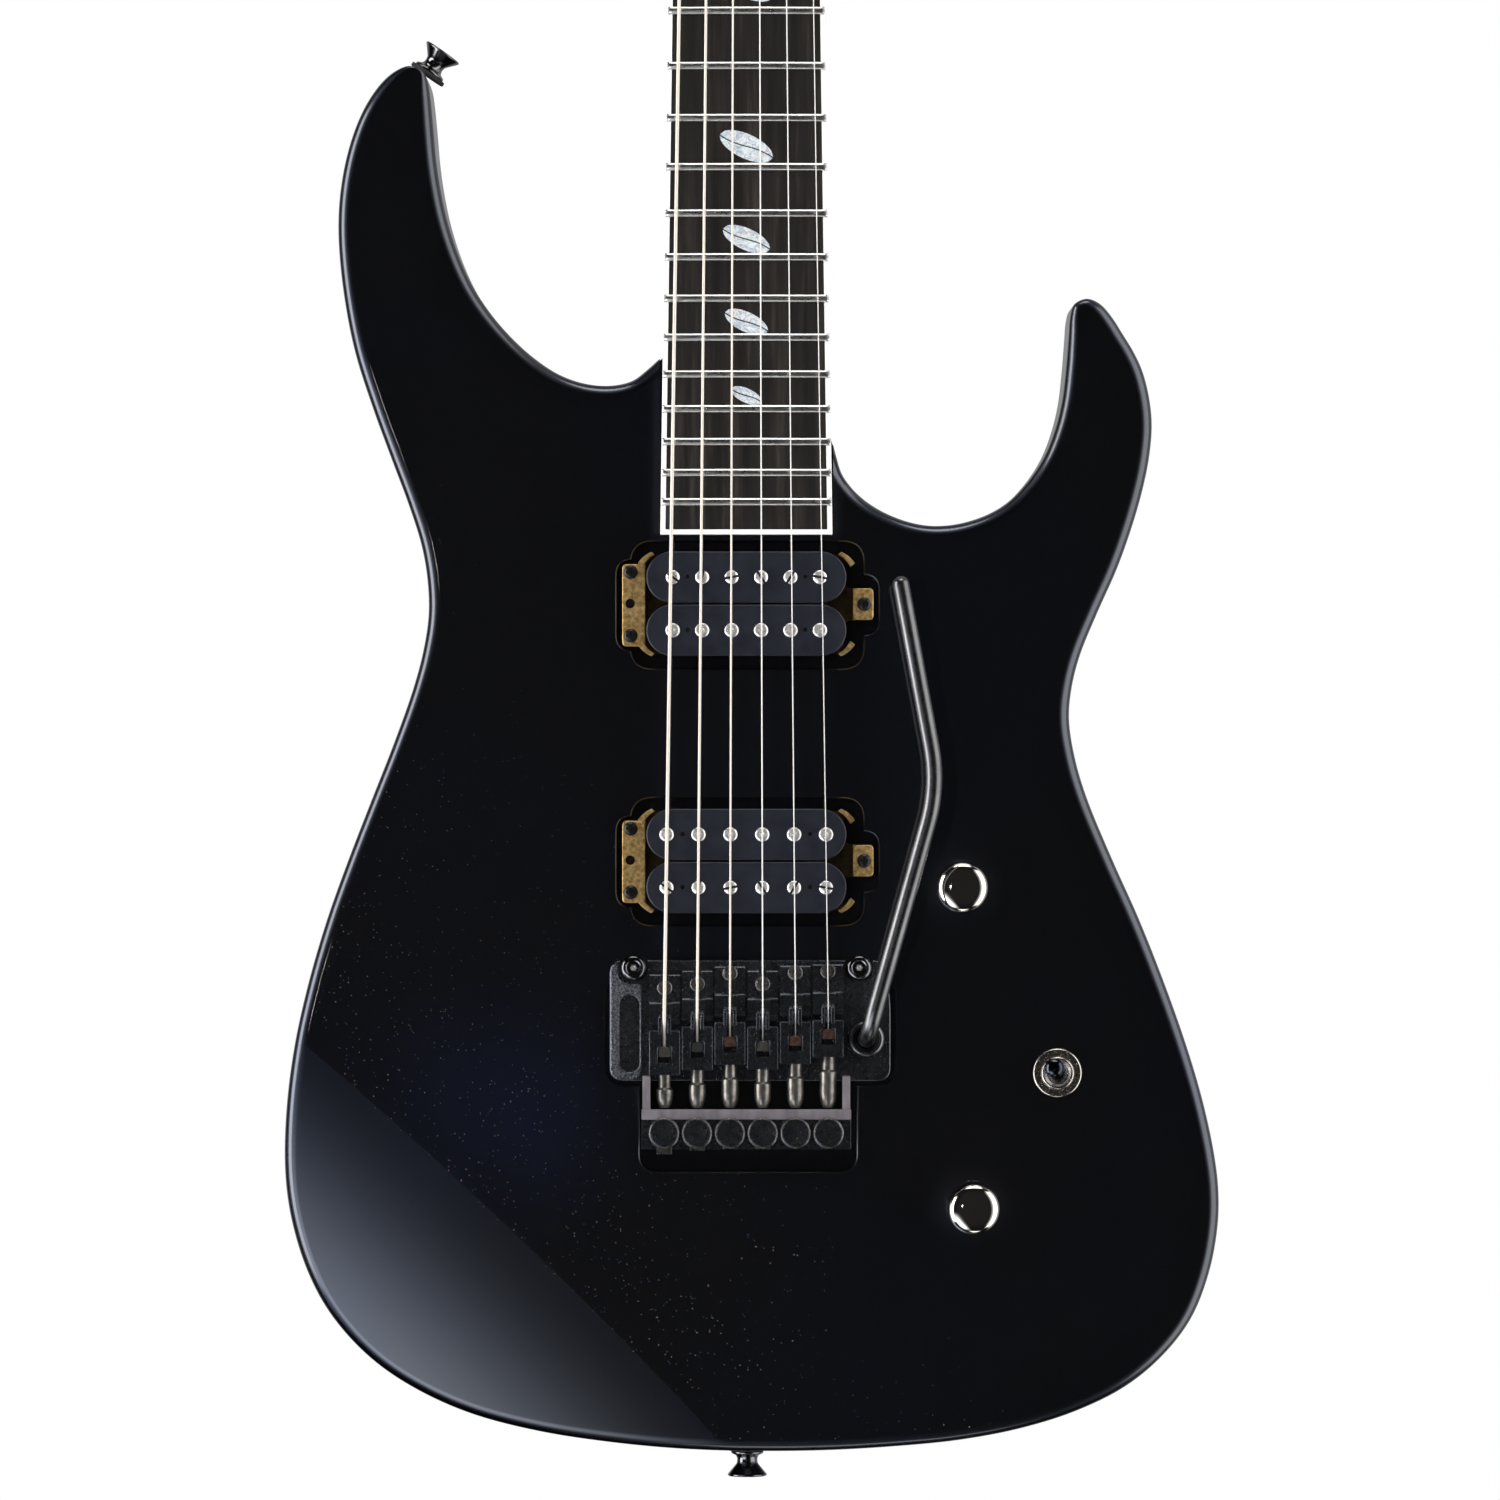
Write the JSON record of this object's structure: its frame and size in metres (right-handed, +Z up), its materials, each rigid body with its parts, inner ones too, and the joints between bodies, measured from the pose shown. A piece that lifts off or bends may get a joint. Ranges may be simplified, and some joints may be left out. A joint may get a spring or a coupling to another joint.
{
  "type": "electric guitar",
  "caption": "Solid-body electric guitar with two cutaways, a bolt-on neck, two open-coil pickups, a double-locking tremolo with its arm, two knobs and a toggle.",
  "frame": {"origin": "middle of the nut line, level with the body's front face, where a wall hanger's yoke holds the neck under the headstock", "axes": "+Z up the neck to the headstock, +X to the treble side, -Y out of the front face"},
  "size_m": [0.3093, 0.0938, 1.0077],
  "materials": {
    "lacquer": "gloss black metallic lacquer",
    "maple": "satin",
    "ebony": "oiled ebony",
    "binding": "gloss ivory",
    "fret_wire": "polished nickel silver",
    "black_metal": "black plated",
    "steel": "satin",
    "nickel": "polished",
    "brass": "satin",
    "black_plastic": "satin black",
    "string_wire": "plain and wound steel"
  },
  "bodies": {
    "instrument": {"body": "lacquer", "neck": "maple", "fretboard": "ebony", "fretboard_binding": "binding", "frets": "fret_wire", "locking_nut": "black_metal", "neck_plate": "black_metal", "spring_cover": "black_plastic", "control_cover": "black_plastic", "upper_strap_button": "black_metal", "lower_strap_button": "black_metal", "claw_and_springs": "steel", "output_jack": "steel", "volume_pot": "steel", "tone_pot": "steel", "toggle_switch": "nickel", "bass_bridge_stud": "black_metal", "treble_bridge_stud": "black_metal", "tuner_housings": "black_metal"},
    "tremolo": {"bridge_plate": "black_metal", "sustain_block": "steel", "saddle_1": "black_metal", "saddle_2": "black_metal", "saddle_3": "black_metal", "saddle_4": "black_metal", "saddle_5": "black_metal", "saddle_6": "black_metal", "arm_collar": "black_metal"},
    "strings": {"string_1": "string_wire", "string_2": "string_wire", "string_3": "string_wire", "string_4": "string_wire", "string_5": "string_wire", "string_6": "string_wire"},
    "arm": {"tremolo_arm": "black_metal"},
    "neck_pickup": {"neck_pickup_baseplate": "brass", "neck_pickup_coils": "black_plastic"},
    "bridge_pickup": {"bridge_pickup_baseplate": "brass", "bridge_pickup_coils": "black_plastic"},
    "volume": {"volume_knob": "nickel"},
    "tone": {"tone_knob": "nickel"},
    "toggle": {"toggle_lever": "black_metal"},
    "fine_tuner_1": {"fine_tuner_1": "black_metal"},
    "fine_tuner_2": {"fine_tuner_2": "black_metal"},
    "fine_tuner_3": {"fine_tuner_3": "black_metal"},
    "fine_tuner_4": {"fine_tuner_4": "black_metal"},
    "fine_tuner_5": {"fine_tuner_5": "black_metal"},
    "fine_tuner_6": {"fine_tuner_6": "black_metal"},
    "tuner_button_1": {"tuner_button_1": "black_metal"},
    "tuner_post_1": {"tuner_post_1": "black_metal"},
    "tuner_button_2": {"tuner_button_2": "black_metal"},
    "tuner_post_2": {"tuner_post_2": "black_metal"},
    "tuner_button_3": {"tuner_button_3": "black_metal"},
    "tuner_post_3": {"tuner_post_3": "black_metal"},
    "tuner_button_4": {"tuner_button_4": "black_metal"},
    "tuner_post_4": {"tuner_post_4": "black_metal"},
    "tuner_button_5": {"tuner_button_5": "black_metal"},
    "tuner_post_5": {"tuner_post_5": "black_metal"},
    "tuner_button_6": {"tuner_button_6": "black_metal"},
    "tuner_post_6": {"tuner_post_6": "black_metal"}
  },
  "joints": [
    {"name": "tremolo_tilt", "type": "hinge", "parent": "instrument", "child": "tremolo", "pos_m": [0, -0.003, -0.6415], "axis": [1, 0, 0], "range_deg": [-13, 5], "stiffness_Nm_per_rad": 30, "deforming": ["claw_and_springs"]},
    {"name": "string_follow", "type": "hinge", "parent": "instrument", "child": "strings", "pos_m": [0, -0.0101, 0], "axis": [1, 0, 0], "range_deg": [-0.3, 0.15], "deforming": ["string_1", "string_2", "string_3", "string_4", "string_5", "string_6"]},
    {"name": "arm_swivel", "type": "hinge", "parent": "tremolo", "child": "arm", "pos_m": [0.0395, -0.01, -0.6628], "axis": [0, -1, 0], "range_deg": [-120, 55]},
    {"name": "neck_pickup_height", "type": "slide", "parent": "instrument", "child": "neck_pickup", "axis": [0, -1, 0], "range_m": [-0.0015, 0.0015]},
    {"name": "bridge_pickup_height", "type": "slide", "parent": "instrument", "child": "bridge_pickup", "axis": [0, -1, 0], "range_m": [-0.0015, 0.0015]},
    {"name": "volume_turn", "type": "hinge", "parent": "instrument", "child": "volume", "pos_m": [0.0711, 0, -0.6128], "axis": [0, -1, 0], "range_deg": [0, 300]},
    {"name": "tone_turn", "type": "hinge", "parent": "instrument", "child": "tone", "pos_m": [0.0749, 0, -0.7186], "axis": [0, -1, 0], "range_deg": [0, 300]},
    {"name": "toggle_flick", "type": "hinge", "parent": "instrument", "child": "toggle", "pos_m": [0.1028, 0, -0.6743], "axis": [0.8192, 0, 0.5736], "range_deg": [0, 24]},
    {"name": "fine_tuner_turn_1", "type": "hinge", "parent": "tremolo", "child": "fine_tuner_1", "pos_m": [-0.027, 0, -0.6935], "axis": [0, -1, 0], "range_deg": [-720, 720]},
    {"name": "fine_tuner_turn_2", "type": "hinge", "parent": "tremolo", "child": "fine_tuner_2", "pos_m": [-0.0162, 0, -0.6935], "axis": [0, -1, 0], "range_deg": [-720, 720]},
    {"name": "fine_tuner_turn_3", "type": "hinge", "parent": "tremolo", "child": "fine_tuner_3", "pos_m": [-0.0054, 0, -0.6935], "axis": [0, -1, 0], "range_deg": [-720, 720]},
    {"name": "fine_tuner_turn_4", "type": "hinge", "parent": "tremolo", "child": "fine_tuner_4", "pos_m": [0.0054, 0, -0.6935], "axis": [0, -1, 0], "range_deg": [-720, 720]},
    {"name": "fine_tuner_turn_5", "type": "hinge", "parent": "tremolo", "child": "fine_tuner_5", "pos_m": [0.0162, 0, -0.6935], "axis": [0, -1, 0], "range_deg": [-720, 720]},
    {"name": "fine_tuner_turn_6", "type": "hinge", "parent": "tremolo", "child": "fine_tuner_6", "pos_m": [0.027, 0, -0.6935], "axis": [0, -1, 0], "range_deg": [-720, 720]},
    {"name": "tuner_turn_1", "type": "hinge", "parent": "instrument", "child": "tuner_button_1", "pos_m": [-0.0207, 0.02439, 0.0429], "axis": [-0.9634, 0.0466, 0.2641], "continuous": true},
    {"name": "tuner_turn_2", "type": "hinge", "parent": "instrument", "child": "tuner_button_2", "pos_m": [-0.01374, 0.02873, 0.06752], "axis": [-0.9634, 0.0466, 0.2641], "continuous": true},
    {"name": "tuner_turn_3", "type": "hinge", "parent": "instrument", "child": "tuner_button_3", "pos_m": [-0.00678, 0.03307, 0.09214], "axis": [-0.9634, 0.0466, 0.2641], "continuous": true},
    {"name": "tuner_turn_4", "type": "hinge", "parent": "instrument", "child": "tuner_button_4", "pos_m": [0.00018, 0.03741, 0.11676], "axis": [-0.9634, 0.0466, 0.2641], "continuous": true},
    {"name": "tuner_turn_5", "type": "hinge", "parent": "instrument", "child": "tuner_button_5", "pos_m": [0.00714, 0.04176, 0.14138], "axis": [-0.9634, 0.0466, 0.2641], "continuous": true},
    {"name": "tuner_turn_6", "type": "hinge", "parent": "instrument", "child": "tuner_button_6", "pos_m": [0.0141, 0.0461, 0.166], "axis": [-0.9634, 0.0466, 0.2641], "continuous": true},
    {"name": "post_turn_1", "type": "hinge", "parent": "instrument", "child": "tuner_post_1", "pos_m": [-0.0207, 0.00371, 0.04654], "axis": [0, -0.9848, 0.1736], "continuous": true},
    {"name": "post_turn_2", "type": "hinge", "parent": "instrument", "child": "tuner_post_2", "pos_m": [-0.01374, 0.00805, 0.07116], "axis": [0, -0.9848, 0.1736], "continuous": true},
    {"name": "post_turn_3", "type": "hinge", "parent": "instrument", "child": "tuner_post_3", "pos_m": [-0.00678, 0.01239, 0.09578], "axis": [0, -0.9848, 0.1736], "continuous": true},
    {"name": "post_turn_4", "type": "hinge", "parent": "instrument", "child": "tuner_post_4", "pos_m": [0.00018, 0.01673, 0.1204], "axis": [0, -0.9848, 0.1736], "continuous": true},
    {"name": "post_turn_5", "type": "hinge", "parent": "instrument", "child": "tuner_post_5", "pos_m": [0.00714, 0.02107, 0.14502], "axis": [0, -0.9848, 0.1736], "continuous": true},
    {"name": "post_turn_6", "type": "hinge", "parent": "instrument", "child": "tuner_post_6", "pos_m": [0.0141, 0.02542, 0.16964], "axis": [0, -0.9848, 0.1736], "continuous": true}
  ],
  "couplings": [
    {"joint": "string_follow", "follows": "tremolo_tilt", "ratio": 0.0165},
    {"joint": "post_turn_1", "follows": "tuner_turn_1", "ratio": 0.071429},
    {"joint": "post_turn_2", "follows": "tuner_turn_2", "ratio": 0.071429},
    {"joint": "post_turn_3", "follows": "tuner_turn_3", "ratio": 0.071429},
    {"joint": "post_turn_4", "follows": "tuner_turn_4", "ratio": 0.071429},
    {"joint": "post_turn_5", "follows": "tuner_turn_5", "ratio": 0.071429},
    {"joint": "post_turn_6", "follows": "tuner_turn_6", "ratio": 0.071429}
  ]
}
